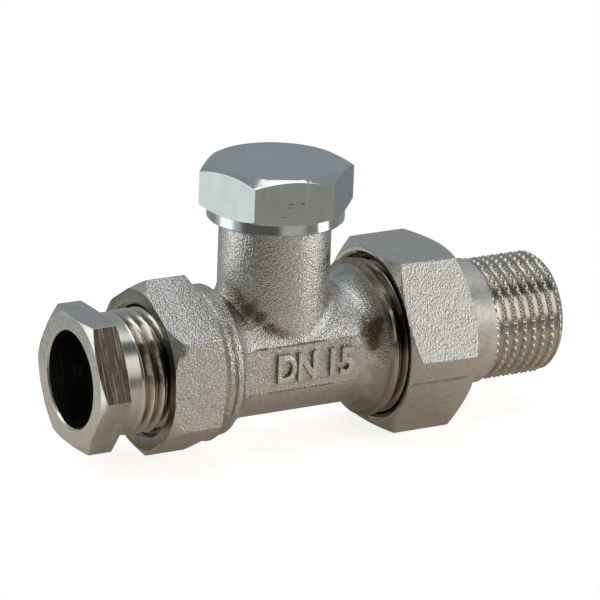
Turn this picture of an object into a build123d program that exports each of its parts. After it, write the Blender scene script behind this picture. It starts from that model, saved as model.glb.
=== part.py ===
import os
from math import cos, radians, sin, tan

from build123d import *

# Straight lockshield radiator valve for a 16 mm pipe. All lengths are in millimetres.
# +X runs from the pipe end to the radiator end and +Z runs up the neck. The origin is on
# the run axis, at the stop that the pipe is pushed against.

# Threads: major diameters. Each thread is modelled as its plain major cylinder.
half_inch_thread_d = 20.955
compression_thread_d = 20.755  # half-inch parallel thread, lower in its tolerance
union_thread_d = 26.441
cap_thread_d = 18.0
bonnet_thread_d = 14.0
spindle_thread_d = 10.0
washer_screw_d = 3.0

# Clearances between pieces
thread_gap = 0.04  # radial, male thread to female thread
face_gap = 0.05  # axial, between faces that press on each other
seal_gap = 0.02  # seal to its walls
pipe_gap = 0.1  # radial, pipe to its bore

# Edges
edge_chamfer = 0.3
thread_chamfer = 0.8

# Pipe and flow path
pipe_d = 16.0
flow_d = 14.0
passage_d = 7.2  # bore under the seat
passage_drop = 3.2  # run axis down to that bore's axis
passage_reach = 2.8  # its blind end, past the neck axis
seat_d = 7.5
seat_z = 2.0
seat_rim_height = 0.8
seat_rim_wall = 0.9
chamber_d = 12.0
inlet_wall = 1.8  # between the flow bore and the chamber
outlet_reach = 5.0  # neck axis to the outlet bore's end

# Body, socket end
neck_x = 10.8  # pipe stop to neck axis
socket_depth = 14.15  # pipe stop to the socket face
socket_thread_depth = 11.55
socket_mouth_d = 23.0
socket_mouth_depth = 1.0
socket_cone_length = 1.25
body_hex_af = 26.2
body_hex_corner = 27.5  # degrees, first corner from +Y towards +Z
body_hex_length = 9.8
body_hex_face_d = 26.9
body_hex_chamfer = 1.45
body_hex_run_out = 1.3
body_hex_round = 0.5
collar_wall = 2.25  # around the socket
collar_groove = 0.5
collar_left = 3.6  # pipe stop back to the collar's left edge
collar_width = 2.3
collar_slope = 3.9
collar_slope_sag = 0.35
chin_rise = 0.7  # thicker lower part of the collar
chin_length = 5.9
chin_sag = 0.85
chin_angle = 25.0  # degrees below the horizontal where it starts, on both sides

# Body, run and union end
run_d = 20.8
bell_reach = 11.65  # neck axis to the start of the bell's flare
bell_length = 4.55
bell_d = 26.8
bell_rim = 0.35
union_reach = 25.4  # neck axis to the body's threaded end
union_seat_d = 22.0
union_seat_angle = 45.0
flat_sink = 0.9  # how deep the flat on the front lies under the tube's surface
flat_left = 9.9  # neck axis back to the flat's left end
flat_right = 6.0  # neck axis to the ramp that runs out at the bell
flat_height = 7.7
flat_end_slope = 30.0  # degrees, wall at the left end

# Body, neck
neck_d = 18.7
neck_fillet = 3.0
neck_shoulder_z = 23.05
neck_relief_width = 0.9
neck_relief_depth = 0.7
neck_top_z = 29.6
bonnet_step_z = 12.0

# Bonnet and spindle
gasket_thickness = 1.0
bonnet_recess = 0.1  # bonnet's top below the neck's top
bonnet_gasket_bore = 11.2
bonnet_slot_width = 2.0
bonnet_slot_depth = 1.2
piston_height = 6.5
oring_groove_d = 7.4
oring_groove_height = 1.6
oring_pitch = 2.8
oring_first = 0.7  # piston's lower edge to the first groove
spindle_travel = 3.0
spindle_thread_height = 7.5
stem_neck_d = 6.8
stem_neck_height = 4.8
disc_wall = 0.5  # around the seat washer
disc_height = 2.3
seat_washer_d = 8.8
seat_washer_height = 2.0
washer_round = 0.3
washer_recess = 1.2
key_af = 5.0
key_depth = 5.0
circlip_thickness = 1.0
circlip_groove = 0.5
circlip_width = 1.3
circlip_opening = 60.0  # degrees
washer_screw_head_d = 4.4
washer_screw_head = 1.1
washer_screw_length = 5.0
screw_slot_width = 0.8
screw_slot_depth = 0.6

# Protective cap
cap_af = 22.8
cap_corner = 45.0  # degrees, first corner from +X towards +Y
cap_collar_d = 22.9
cap_clearance = 0.15  # neck shoulder to the collar
cap_collar_height = 1.95
cap_lower_chamfer = 0.8
cap_corner_height = 5.6
cap_upper_chamfer = 1.25
cap_face_d = 21.5
cap_gasket_bore = 11.0

# Compression set
screw_af = 22.0
screw_corner = 2.0
screw_hex_length = 5.15
screw_face_d = 22.2
screw_front_chamfer = 0.6
screw_rear_chamfer = 0.35
screw_neck_d = 20.4
screw_neck_length = 2.8
screw_thread_length = 10.4
screw_engagement = 5.75  # thread inside the socket
ring_wall = 1.1  # washer, clamp ring and seal ring around the pipe
thrust_washer_thickness = 0.8
clamp_ring_length = 3.0
clamp_ring_slot = 0.8
clamp_ring_chamfer = 0.5
seal_nose = 0.45  # seal ring's blunt tip, back from the cone's end

# Union nut and tailpiece
nut_af = 29.8
nut_corner = 0.0
nut_reach = 18.4  # neck axis to the nut's left face
nut_length = 13.15
nut_left_face_d = 29.9
nut_left_chamfer = 1.2
nut_right_face_d = 29.3
nut_right_chamfer = 1.65
nut_recess_d = 28.8
nut_recess_depth = 0.8
nut_round = 0.4
nut_flange = 2.85
nut_flange_gap = 0.25  # radial, around the tail's tube
tail_tube_d = 21.4
tail_collar_clearance = 0.92  # radial, in the nut's thread
tail_collar_gap = 0.5  # body's end to the collar
tail_nose_wall = 1.1
tail_reach = 51.5  # neck axis to the tail's end
tail_thread_length = 13.7
tail_bore_d = 13.8
tail_key_af = 12.0
tail_key_depth = 12.0
tail_end_chamfer = 0.8

# Places that follow from the sizes above
pipe_bore_d = pipe_d + 2 * pipe_gap
socket_bore_d = compression_thread_d + 2 * thread_gap
collar_d = socket_bore_d + 2 * collar_wall
chin_d = collar_d + 2 * chin_rise
bonnet_bore_d = bonnet_thread_d + 2 * thread_gap
cap_bore_d = cap_thread_d + 2 * thread_gap
packing_d = pipe_bore_d + 2 * ring_wall
packing_bore_d = packing_d + 2 * thread_gap
inlet_end_x = neck_x - chamber_d / 2 - inlet_wall
socket_x = -socket_depth
socket_cone_x = socket_x + socket_thread_depth
collar_x = -collar_left
bell_x = neck_x + bell_reach
flat_y = -run_d / 2 + flat_sink
flat_depth = (collar_d - run_d) / 2 + flat_sink
flat_end_run = flat_depth * tan(radians(flat_end_slope))
screw_end_x = socket_x + screw_engagement
screw_thread_x = screw_end_x - screw_thread_length
screw_hex_end_x = screw_thread_x - screw_neck_length
screw_face_x = screw_hex_end_x - screw_hex_length
thrust_washer_x = screw_end_x + face_gap
clamp_ring_x = thrust_washer_x + thrust_washer_thickness
union_x = neck_x + union_reach
nut_x = neck_x + nut_reach
nut_flange_x = nut_x + nut_length - nut_flange
tail_x = neck_x + tail_reach
tail_collar_d = union_thread_d - 2 * tail_collar_clearance
bonnet_z = bonnet_step_z + gasket_thickness
bonnet_top_z = neck_top_z - bonnet_recess
washer_z = seat_z + face_gap + spindle_travel
disc_d = seat_washer_d + 2 * disc_wall
disc_z = washer_z + seat_washer_height - washer_recess
spindle_thread_z = disc_z + disc_height + stem_neck_height
piston_z = spindle_thread_z + spindle_thread_height
piston_top_z = piston_z + piston_height
circlip_z = piston_top_z + face_gap
cap_z = neck_shoulder_z + cap_clearance
cap_gasket_z = neck_top_z + face_gap
cap_roof_z = cap_gasket_z + gasket_thickness + face_gap

# The two directions that the pieces are turned about
run_plane = Plane.XY
run_axis = Axis.X
neck_plane = Plane(origin=(neck_x, 0, 0), x_dir=(1, 0, 0), z_dir=(0, -1, 0))
neck_axis = Axis((neck_x, 0, 0), (0, 0, 1))


def outline(plane, points):
    # Closed outline with straight edges
    with BuildSketch(plane) as section:
        with BuildLine():
            Polyline(points, close=True)
        make_face()
    return section.sketch


def run_outline(*points):
    # Each point is (x, radius) beside the run axis
    return outline(run_plane, points)


def neck_outline(*points):
    # Each point is (radius, z) beside the neck axis
    return outline(neck_plane, points)


def corner_radius(across_flats):
    return across_flats / 2 / cos(radians(30))


def run_hexagon(start, end, across_flats, corner_angle, envelope, rounding=0):
    # Hexagon bar along the run with its corners turned down to the envelope
    with BuildPart() as bar:
        with BuildSketch(Plane.YZ.offset(start)) as section:
            RegularPolygon(across_flats / 2, 6, major_radius=False, rotation=corner_angle)
            if rounding:
                fillet(section.vertices(), rounding)
        extrude(amount=end - start)
        revolve(run_outline(*envelope), axis=run_axis, mode=Mode.INTERSECT)
    return bar.part


def body_hexagon():
    corner = corner_radius(body_hex_af)
    end_x = socket_x + body_hex_length
    return run_hexagon(
        socket_x,
        end_x,
        body_hex_af,
        body_hex_corner,
        (
            (socket_x, 0),
            (socket_x, body_hex_face_d / 2),
            (socket_x + body_hex_chamfer, corner),
            (end_x - body_hex_run_out, corner),
            (end_x, collar_d / 2 - collar_groove),
            (end_x, 0),
        ),
        body_hex_round,
    )


def body_run():
    # Collar, tube, bell and the cylinder of the union thread in one turned outline
    groove_radius = collar_d / 2 - collar_groove
    start_x = socket_x + body_hex_length - body_hex_run_out
    collar_end_x = collar_x + collar_width
    bell_end_x = bell_x + bell_length
    with BuildPart() as run:
        with BuildSketch(run_plane):
            with BuildLine():
                collar = Polyline(
                    (start_x, 0),
                    (start_x, groove_radius),
                    (collar_x - collar_groove, groove_radius),
                    (collar_x, collar_d / 2),
                    (collar_end_x, collar_d / 2),
                )
                slope = SagittaArc(
                    collar @ 1, (collar_end_x + collar_slope, run_d / 2), -collar_slope_sag
                )
                tube = Line(slope @ 1, (bell_x, run_d / 2))
                bell = TangentArc(tube @ 1, (bell_end_x, bell_d / 2), tangent=(1, 0))
                Polyline(
                    bell @ 1,
                    (bell_end_x + bell_rim, bell_d / 2),
                    (bell_end_x + bell_rim, union_thread_d / 2),
                    (union_x - thread_chamfer, union_thread_d / 2),
                    (union_x, union_thread_d / 2 - thread_chamfer),
                    (union_x, 0),
                    collar @ 0,
                )
            make_face()
        revolve(axis=run_axis)
    return run.part


def collar_chin():
    # The lower part of the collar is thicker and has a fuller slope
    chin_end_x = collar_x + chin_length
    with BuildPart() as chin:
        with BuildSketch(Plane.XY.rotated((chin_angle, 0, 0))):
            with BuildLine():
                front = Polyline(
                    (collar_x - collar_groove, 0),
                    (collar_x - collar_groove, collar_groove - collar_d / 2),
                    (collar_x, -chin_d / 2),
                )
                slope = SagittaArc(front @ 1, (chin_end_x, -run_d / 2), chin_sag)
                Polyline(slope @ 1, (chin_end_x, 0), front @ 0)
            make_face()
        revolve(axis=run_axis, revolution_arc=180 - 2 * chin_angle)
    return chin.part


def make_valve_body():
    hexagon = body_hexagon()
    run = body_run()
    chin = collar_chin()
    union_bore_end = neck_x + outlet_reach
    union_cone_length = (union_seat_d - flow_d) / 2
    with BuildPart() as valve_body:
        # Plain tube and neck first, so that the fillet between them is whole
        with BuildSketch(Plane.YZ.offset(collar_x)):
            Circle(run_d / 2)
        extrude(amount=bell_x - collar_x)
        with BuildSketch(Plane.XY):
            with Locations((neck_x, 0)):
                Circle(neck_d / 2)
        extrude(amount=neck_shoulder_z)
        neck_root = valve_body.edges(Select.NEW).filter_by(GeomType.BSPLINE)
        fillet(neck_root, neck_fillet)
        add(run)
        add(hexagon)
        add(chin)

        # Cap thread with its relief above the shoulder
        revolve(
            neck_outline(
                (0, neck_shoulder_z),
                (cap_thread_d / 2 - neck_relief_depth, neck_shoulder_z),
                (cap_thread_d / 2 - neck_relief_depth, neck_shoulder_z + neck_relief_width),
                (cap_thread_d / 2, neck_shoulder_z + neck_relief_width),
                (cap_thread_d / 2, neck_top_z - edge_chamfer),
                (cap_thread_d / 2 - edge_chamfer, neck_top_z),
                (0, neck_top_z),
            ),
            axis=neck_axis,
        )

        # Flat on the front of the tube
        with BuildSketch(Plane.XY):
            with BuildLine():
                Polyline(
                    (neck_x - flat_left - flat_end_run, flat_y - flat_depth),
                    (neck_x - flat_left, flat_y),
                    (neck_x + flat_right, flat_y),
                    (bell_x, -run_d / 2),
                    (bell_x, flat_y - flat_depth),
                    close=True,
                )
            make_face()
        extrude(amount=flat_height / 2, both=True, mode=Mode.SUBTRACT)

        # Socket for the compression set, pipe guide and flow bore
        revolve(
            run_outline(
                (socket_x, 0),
                (socket_x, socket_mouth_d / 2),
                (socket_x + socket_mouth_depth, socket_bore_d / 2),
                (socket_cone_x, socket_bore_d / 2),
                (socket_cone_x, packing_bore_d / 2),
                (socket_cone_x + socket_cone_length, pipe_bore_d / 2),
                (0, pipe_bore_d / 2),
                (0, flow_d / 2),
                (inlet_end_x, flow_d / 2),
                (inlet_end_x, 0),
            ),
            axis=run_axis,
            mode=Mode.SUBTRACT,
        )

        # Low passage from the flow bore to below the seat
        with BuildSketch(Plane.YZ):
            with Locations((0, -passage_drop)):
                Circle(passage_d / 2)
        extrude(amount=neck_x + passage_reach, mode=Mode.SUBTRACT)

        # Seat bore, seat rim, chamber and bonnet bore, all machined down the neck
        revolve(
            neck_outline(
                (0, -passage_drop),
                (seat_d / 2, -passage_drop),
                (seat_d / 2, seat_z),
                (seat_d / 2 + seat_rim_wall, seat_z),
                (seat_d / 2 + seat_rim_wall, seat_z - seat_rim_height),
                (chamber_d / 2, seat_z - seat_rim_height),
                (chamber_d / 2, bonnet_step_z),
                (bonnet_bore_d / 2, bonnet_step_z),
                (bonnet_bore_d / 2, neck_top_z),
                (0, neck_top_z),
            ),
            axis=neck_axis,
            mode=Mode.SUBTRACT,
        )

        # Outlet bore with the cone that the tailpiece seals in
        revolve(
            run_outline(
                (union_bore_end, 0),
                (union_bore_end, flow_d / 2),
                (union_x - union_cone_length, flow_d / 2),
                (union_x, union_seat_d / 2),
                (union_x, 0),
            ),
            axis=run_axis,
            mode=Mode.SUBTRACT,
        )
    return valve_body


def make_bonnet():
    bore = spindle_thread_d / 2 + thread_gap
    with BuildPart() as bonnet:
        revolve(
            neck_outline(
                (bore, bonnet_z),
                (bonnet_thread_d / 2 - edge_chamfer, bonnet_z),
                (bonnet_thread_d / 2, bonnet_z + edge_chamfer),
                (bonnet_thread_d / 2, bonnet_top_z),
                (bore, bonnet_top_z),
                (bore, circlip_z + circlip_thickness + face_gap),
                (bore + circlip_groove, circlip_z + circlip_thickness + face_gap),
                (bore + circlip_groove, circlip_z - face_gap),
                (bore, circlip_z - face_gap),
            ),
            axis=neck_axis,
        )
        # Slot across the top rim for the fitting key
        with BuildSketch(Plane.XY.offset(bonnet_top_z)):
            with Locations((neck_x, 0)):
                Rectangle(bonnet_thread_d, bonnet_slot_width)
        extrude(amount=-bonnet_slot_depth, mode=Mode.SUBTRACT)
    return bonnet


def make_bonnet_gasket():
    with BuildPart() as bonnet_gasket:
        with BuildSketch(Plane.XY.offset(bonnet_step_z)):
            with Locations((neck_x, 0)):
                Circle(bonnet_thread_d / 2 - thread_gap)
                Circle(bonnet_gasket_bore / 2, mode=Mode.SUBTRACT)
        extrude(amount=gasket_thickness)
    return bonnet_gasket


def make_spindle():
    piston_radius = spindle_thread_d / 2 - thread_gap
    grooves = [piston_z + oring_first, piston_z + oring_first + oring_pitch]
    hole_z = washer_z + washer_screw_length + face_gap
    with BuildPart() as spindle:
        revolve(
            neck_outline(
                (0, disc_z),
                (disc_d / 2, disc_z),
                (disc_d / 2, disc_z + disc_height),
                (stem_neck_d / 2, disc_z + disc_height),
                (stem_neck_d / 2, spindle_thread_z - thread_chamfer),
                (spindle_thread_d / 2 - thread_chamfer, spindle_thread_z),
                (spindle_thread_d / 2, spindle_thread_z + thread_chamfer),
                (spindle_thread_d / 2, piston_z),
                (piston_radius, piston_z),
                (piston_radius, piston_top_z),
                (0, piston_top_z),
            ),
            axis=neck_axis,
        )
        for groove_z in grooves:
            revolve(
                neck_outline(
                    (oring_groove_d / 2, groove_z),
                    (spindle_thread_d, groove_z),
                    (spindle_thread_d, groove_z + oring_groove_height),
                    (oring_groove_d / 2, groove_z + oring_groove_height),
                ),
                axis=neck_axis,
                mode=Mode.SUBTRACT,
            )
        # Cup for the seat washer and the hole of its screw
        revolve(
            neck_outline(
                (0, disc_z),
                (seat_washer_d / 2 + seal_gap, disc_z),
                (seat_washer_d / 2 + seal_gap, disc_z + washer_recess),
                (washer_screw_d / 2 + seal_gap, disc_z + washer_recess),
                (washer_screw_d / 2 + seal_gap, hole_z),
                (0, hole_z),
            ),
            axis=neck_axis,
            mode=Mode.SUBTRACT,
        )
        # Hexagon socket for the key
        with BuildSketch(Plane.XY.offset(piston_top_z)):
            with Locations((neck_x, 0)):
                RegularPolygon(key_af / 2, 6, major_radius=False)
        extrude(amount=-key_depth, mode=Mode.SUBTRACT)
    return spindle


def make_stem_oring(index):
    wall = spindle_thread_d / 2 + thread_gap
    section_radius = (wall - oring_groove_d / 2) / 2 - seal_gap
    centre_radius = (wall + oring_groove_d / 2) / 2
    centre_z = piston_z + oring_first + index * oring_pitch + oring_groove_height / 2
    with BuildPart() as stem_oring:
        with BuildSketch(neck_plane):
            with Locations((centre_radius, centre_z)):
                Circle(section_radius)
        revolve(axis=neck_axis)
    return stem_oring


def make_spindle_circlip():
    # Open over a part of the turn, so that it can be squeezed into its groove
    outer = spindle_thread_d / 2 + thread_gap + circlip_groove - seal_gap
    with BuildPart() as spindle_circlip:
        revolve(
            neck_outline(
                (outer - circlip_width, circlip_z),
                (outer, circlip_z),
                (outer, circlip_z + circlip_thickness),
                (outer - circlip_width, circlip_z + circlip_thickness),
            ),
            axis=neck_axis,
            revolution_arc=360 - circlip_opening,
        )
    return spindle_circlip


def make_seat_washer():
    with BuildPart() as seat_washer:
        with BuildSketch(Plane.XY.offset(washer_z)):
            with Locations((neck_x, 0)):
                Circle(seat_washer_d / 2)
                Circle(washer_screw_d / 2 + seal_gap, mode=Mode.SUBTRACT)
        extrude(amount=seat_washer_height)
        fillet(seat_washer.edges().group_by(Axis.Z)[0].sort_by(SortBy.LENGTH)[-1], washer_round)
    return seat_washer


def make_washer_screw():
    head_z = washer_z - washer_screw_head
    with BuildPart() as washer_screw:
        revolve(
            neck_outline(
                (0, head_z),
                (washer_screw_head_d / 2 - edge_chamfer, head_z),
                (washer_screw_head_d / 2, head_z + edge_chamfer),
                (washer_screw_head_d / 2, washer_z),
                (washer_screw_d / 2, washer_z),
                (washer_screw_d / 2, washer_z + washer_screw_length),
                (0, washer_z + washer_screw_length),
            ),
            axis=neck_axis,
        )
        with BuildSketch(Plane.XY.offset(head_z)):
            with Locations((neck_x, 0)):
                Rectangle(washer_screw_head_d, screw_slot_width)
        extrude(amount=screw_slot_depth, mode=Mode.SUBTRACT)
    return washer_screw


def make_protective_cap():
    corner = corner_radius(cap_af)
    collar_top_z = cap_z + cap_collar_height
    corner_z = collar_top_z + cap_lower_chamfer
    corner_top_z = corner_z + cap_corner_height
    cap_top_z = corner_top_z + cap_upper_chamfer
    with BuildPart() as protective_cap:
        with BuildSketch(Plane.XY.offset(cap_z + edge_chamfer)):
            with Locations((neck_x, 0)):
                RegularPolygon(cap_af / 2, 6, major_radius=False, rotation=cap_corner)
        extrude(amount=cap_top_z - cap_z - edge_chamfer)
        revolve(
            neck_outline(
                (0, cap_z),
                (cap_collar_d / 2, cap_z),
                (cap_collar_d / 2, collar_top_z),
                (corner, corner_z),
                (corner, corner_top_z),
                (cap_face_d / 2, cap_top_z),
                (0, cap_top_z),
            ),
            axis=neck_axis,
            mode=Mode.INTERSECT,
        )
        # Round collar below the hexagon
        revolve(
            neck_outline(
                (0, cap_z),
                (cap_collar_d / 2 - edge_chamfer, cap_z),
                (cap_collar_d / 2, cap_z + edge_chamfer),
                (cap_collar_d / 2, collar_top_z),
                (0, collar_top_z),
            ),
            axis=neck_axis,
        )
        # Threaded bore up to the gasket's seat
        revolve(
            neck_outline(
                (0, cap_z),
                (cap_bore_d / 2 + edge_chamfer, cap_z),
                (cap_bore_d / 2, cap_z + edge_chamfer),
                (cap_bore_d / 2, cap_roof_z),
                (0, cap_roof_z),
            ),
            axis=neck_axis,
            mode=Mode.SUBTRACT,
        )
    return protective_cap


def make_cap_gasket():
    with BuildPart() as cap_gasket:
        with BuildSketch(Plane.XY.offset(cap_gasket_z)):
            with Locations((neck_x, 0)):
                Circle(cap_thread_d / 2 - thread_gap)
                Circle(cap_gasket_bore / 2, mode=Mode.SUBTRACT)
        extrude(amount=gasket_thickness)
    return cap_gasket


def make_compression_screw():
    corner = corner_radius(screw_af)
    head = run_hexagon(
        screw_face_x,
        screw_hex_end_x,
        screw_af,
        screw_corner,
        (
            (screw_face_x, 0),
            (screw_face_x, screw_face_d / 2),
            (screw_face_x + screw_front_chamfer, corner),
            (screw_hex_end_x - screw_rear_chamfer, corner),
            (screw_hex_end_x, screw_face_d / 2),
            (screw_hex_end_x, 0),
        ),
    )
    with BuildPart() as compression_screw:
        add(head)
        revolve(
            run_outline(
                (screw_hex_end_x, 0),
                (screw_hex_end_x, screw_neck_d / 2),
                (screw_thread_x, screw_neck_d / 2),
                (screw_thread_x + edge_chamfer, compression_thread_d / 2),
                (screw_end_x - thread_chamfer, compression_thread_d / 2),
                (screw_end_x, compression_thread_d / 2 - thread_chamfer),
                (screw_end_x, 0),
            ),
            axis=run_axis,
        )
        # Bore for the pipe with its entry chamfer
        revolve(
            run_outline(
                (screw_face_x, 0),
                (screw_face_x, pipe_bore_d / 2 + edge_chamfer),
                (screw_face_x + edge_chamfer, pipe_bore_d / 2),
                (screw_end_x, pipe_bore_d / 2),
                (screw_end_x, 0),
            ),
            axis=run_axis,
            mode=Mode.SUBTRACT,
        )
    return compression_screw


def make_thrust_washer():
    with BuildPart() as thrust_washer:
        with BuildSketch(Plane.YZ.offset(thrust_washer_x)):
            Circle(packing_d / 2)
            Circle(pipe_bore_d / 2, mode=Mode.SUBTRACT)
        extrude(amount=thrust_washer_thickness)
    return thrust_washer


def make_clamp_ring():
    clamp_ring_end_x = clamp_ring_x + clamp_ring_length
    with BuildPart() as clamp_ring:
        revolve(
            run_outline(
                (clamp_ring_x, pipe_bore_d / 2),
                (clamp_ring_x, packing_d / 2 - clamp_ring_chamfer),
                (clamp_ring_x + clamp_ring_chamfer, packing_d / 2),
                (clamp_ring_end_x - clamp_ring_chamfer, packing_d / 2),
                (clamp_ring_end_x, packing_d / 2 - clamp_ring_chamfer),
                (clamp_ring_end_x, pipe_bore_d / 2),
            ),
            axis=run_axis,
        )
        # Slot that lets the ring close on the pipe
        with BuildSketch(Plane.YZ.offset(clamp_ring_x)):
            Rectangle(clamp_ring_slot, packing_d, align=(Align.CENTER, Align.MIN))
        extrude(amount=clamp_ring_length, mode=Mode.SUBTRACT)
    return clamp_ring


def make_seal_ring():
    # Its nose lies in the cone at the bottom of the socket
    seal_x = clamp_ring_x + clamp_ring_length
    seal_end_x = socket_cone_x + socket_cone_length - seal_nose
    cone_slope = (packing_bore_d - pipe_bore_d) / 2 / socket_cone_length
    nose_radius = pipe_bore_d / 2 + seal_nose * cone_slope - face_gap
    with BuildPart() as seal_ring:
        revolve(
            run_outline(
                (seal_x, pipe_bore_d / 2),
                (seal_x, packing_d / 2),
                (socket_cone_x - face_gap, packing_d / 2),
                (seal_end_x, nose_radius),
                (seal_end_x, pipe_bore_d / 2),
            ),
            axis=run_axis,
        )
    return seal_ring


def make_tailpiece():
    # The nose is parallel to the cone in the body, a face gap away from it
    cone_shift = face_gap / sin(radians(union_seat_angle))
    tip_radius = tail_bore_d / 2 + tail_nose_wall
    tip_x = union_x - (union_seat_d / 2 - tip_radius) / tan(radians(union_seat_angle)) + cone_shift
    nose_end_x = union_x + tail_collar_gap
    nose_end_radius = tip_radius + (nose_end_x - tip_x) * tan(radians(union_seat_angle))
    collar_end_x = nut_flange_x - face_gap
    thread_x = tail_x - tail_thread_length
    with BuildPart() as tailpiece:
        revolve(
            run_outline(
                (tip_x, 0),
                (tip_x, tip_radius),
                (nose_end_x, nose_end_radius),
                (nose_end_x, tail_collar_d / 2),
                (collar_end_x, tail_collar_d / 2),
                (collar_end_x, tail_tube_d / 2),
                (thread_x, tail_tube_d / 2),
                (thread_x, half_inch_thread_d / 2),
                (tail_x - tail_end_chamfer, half_inch_thread_d / 2),
                (tail_x, half_inch_thread_d / 2 - tail_end_chamfer),
                (tail_x, 0),
            ),
            axis=run_axis,
        )
        # Flow bore, which the hexagon for the fitting key ends
        with BuildSketch(Plane.YZ.offset(tip_x)):
            Circle(tail_bore_d / 2)
        extrude(amount=tail_x - tail_key_depth - tip_x, mode=Mode.SUBTRACT)
        with BuildSketch(Plane.YZ.offset(tail_x)):
            RegularPolygon(tail_key_af / 2, 6, major_radius=False)
        extrude(amount=-tail_key_depth, mode=Mode.SUBTRACT)
    return tailpiece


def make_union_nut():
    nut_end_x = nut_x + nut_length
    corner = corner_radius(nut_af)
    thread_radius = union_thread_d / 2 + thread_gap
    hexagon = run_hexagon(
        nut_x,
        nut_end_x,
        nut_af,
        nut_corner,
        (
            (nut_x, 0),
            (nut_x, nut_left_face_d / 2),
            (nut_x + nut_left_chamfer, corner),
            (nut_end_x - nut_right_chamfer, corner),
            (nut_end_x, nut_right_face_d / 2),
            (nut_end_x, 0),
        ),
        nut_round,
    )
    with BuildPart() as union_nut:
        add(hexagon)
        # Recess, threaded bore and the flange that pulls on the tailpiece
        revolve(
            run_outline(
                (nut_x, 0),
                (nut_x, nut_recess_d / 2),
                (nut_x + nut_recess_depth, thread_radius),
                (nut_flange_x, thread_radius),
                (nut_flange_x, tail_tube_d / 2 + nut_flange_gap),
                (nut_end_x, tail_tube_d / 2 + nut_flange_gap),
                (nut_end_x, 0),
            ),
            axis=run_axis,
            mode=Mode.SUBTRACT,
        )
    return union_nut


pieces = {
    "valve_body": make_valve_body(),
    "bonnet": make_bonnet(),
    "bonnet_gasket": make_bonnet_gasket(),
    "spindle_circlip": make_spindle_circlip(),
    "protective_cap": make_protective_cap(),
    "cap_gasket": make_cap_gasket(),
    "spindle": make_spindle(),
    "stem_oring_lower": make_stem_oring(0),
    "stem_oring_upper": make_stem_oring(1),
    "seat_washer": make_seat_washer(),
    "washer_screw": make_washer_screw(),
    "compression_screw": make_compression_screw(),
    "thrust_washer": make_thrust_washer(),
    "clamp_ring": make_clamp_ring(),
    "seal_ring": make_seal_ring(),
    "tailpiece": make_tailpiece(),
    "union_nut": make_union_nut(),
}

os.makedirs("parts", exist_ok=True)
for name, piece in pieces.items():
    piece.part.label = name
    export_step(piece.part, f"parts/{name}.step")
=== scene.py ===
import math

import bmesh
import bpy
from mathutils import Matrix, Vector


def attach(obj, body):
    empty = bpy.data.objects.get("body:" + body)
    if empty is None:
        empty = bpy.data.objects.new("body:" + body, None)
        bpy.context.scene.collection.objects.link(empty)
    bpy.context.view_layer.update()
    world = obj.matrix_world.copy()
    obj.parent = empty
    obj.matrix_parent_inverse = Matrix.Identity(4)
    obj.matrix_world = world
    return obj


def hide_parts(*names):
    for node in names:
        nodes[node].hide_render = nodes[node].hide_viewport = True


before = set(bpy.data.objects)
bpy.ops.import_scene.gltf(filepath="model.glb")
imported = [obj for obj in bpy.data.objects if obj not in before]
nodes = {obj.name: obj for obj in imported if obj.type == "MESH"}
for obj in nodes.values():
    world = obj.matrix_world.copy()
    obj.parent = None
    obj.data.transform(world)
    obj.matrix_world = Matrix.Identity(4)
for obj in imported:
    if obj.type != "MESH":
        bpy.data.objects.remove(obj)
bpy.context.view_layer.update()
mm = 0.001
neckX = 10.8 * mm  # from the pipe stop to the neck's axis
runAxis = Vector((1, 0, 0))
print("frame loaded with", len(nodes), "nodes")


# Small helpers for meshes

meshValues = {
    "mergeWithin": 0.0005 * mm,
    "flatWithin": 0.3,  # degrees between the loose triangles of one flat
    "roundFrom": 18,  # degrees between faces, from which an edge is rounded
    "roundSegments": 2,
    "sharpFrom": 24,  # degrees between faces, from which an edge shades sharp
    "cutWithin": 1e-8,
    "squareFrom": 0.999,  # share of a normal along the run, from which a face is square to it
}


def radiusOf(point):
    # distance from the run's axis
    return math.hypot(point.y, point.z)


def neckRadiusOf(point):
    # distance from the neck's axis
    return math.hypot(point.x - neckX, point.y)


def looksAtRun(place, normal, share):
    # share is how much of the normal has to point at the axis
    return normal.y * place.y + normal.z * place.z < -share * radiusOf(place)


def looksAtNeck(place, normal, share):
    return normal.x * (place.x - neckX) + normal.y * place.y < -share * neckRadiusOf(place)


def copyOfNode(name):
    bm = bmesh.new()
    bm.from_mesh(nodes[name].data)
    bmesh.ops.remove_doubles(bm, verts=bm.verts, dist=meshValues["mergeWithin"])
    # the loose triangles of each flat become one face
    bmesh.ops.dissolve_limit(
        bm, angle_limit=math.radians(meshValues["flatWithin"]), verts=bm.verts, edges=bm.edges,
        delimit=set(),
    )
    return bm


def bevelEdges(bm, edges, width):
    return bmesh.ops.bevel(
        bm, geom=edges, offset=width, offset_type="OFFSET", affect="EDGES",
        segments=meshValues["roundSegments"], profile=0.5, material=-1, clamp_overlap=True,
    )


def roundEdges(bm, width, chosen, slotIndex):
    # takes the sharpness off an edge, and gives the new faces the finish of a rubbed edge
    sharpFrom = math.radians(meshValues["roundFrom"])
    edges = [
        edge for edge in bm.edges
        if len(edge.link_faces) == 2 and edge.calc_face_angle(0) > sharpFrom
        and chosen((edge.verts[0].co + edge.verts[1].co) / 2)
    ]
    for face in bevelEdges(bm, edges, width)["faces"]:
        face.material_index = slotIndex


def cutAcross(bm, cutX, clearInner=False, clearOuter=False):
    # cuts the faces where a plane across the run meets them
    bmesh.ops.bisect_plane(
        bm, geom=bm.verts[:] + bm.edges[:] + bm.faces[:], dist=meshValues["cutWithin"],
        plane_co=(cutX, 0, 0), plane_no=runAxis, clear_inner=clearInner, clear_outer=clearOuter,
    )


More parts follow.
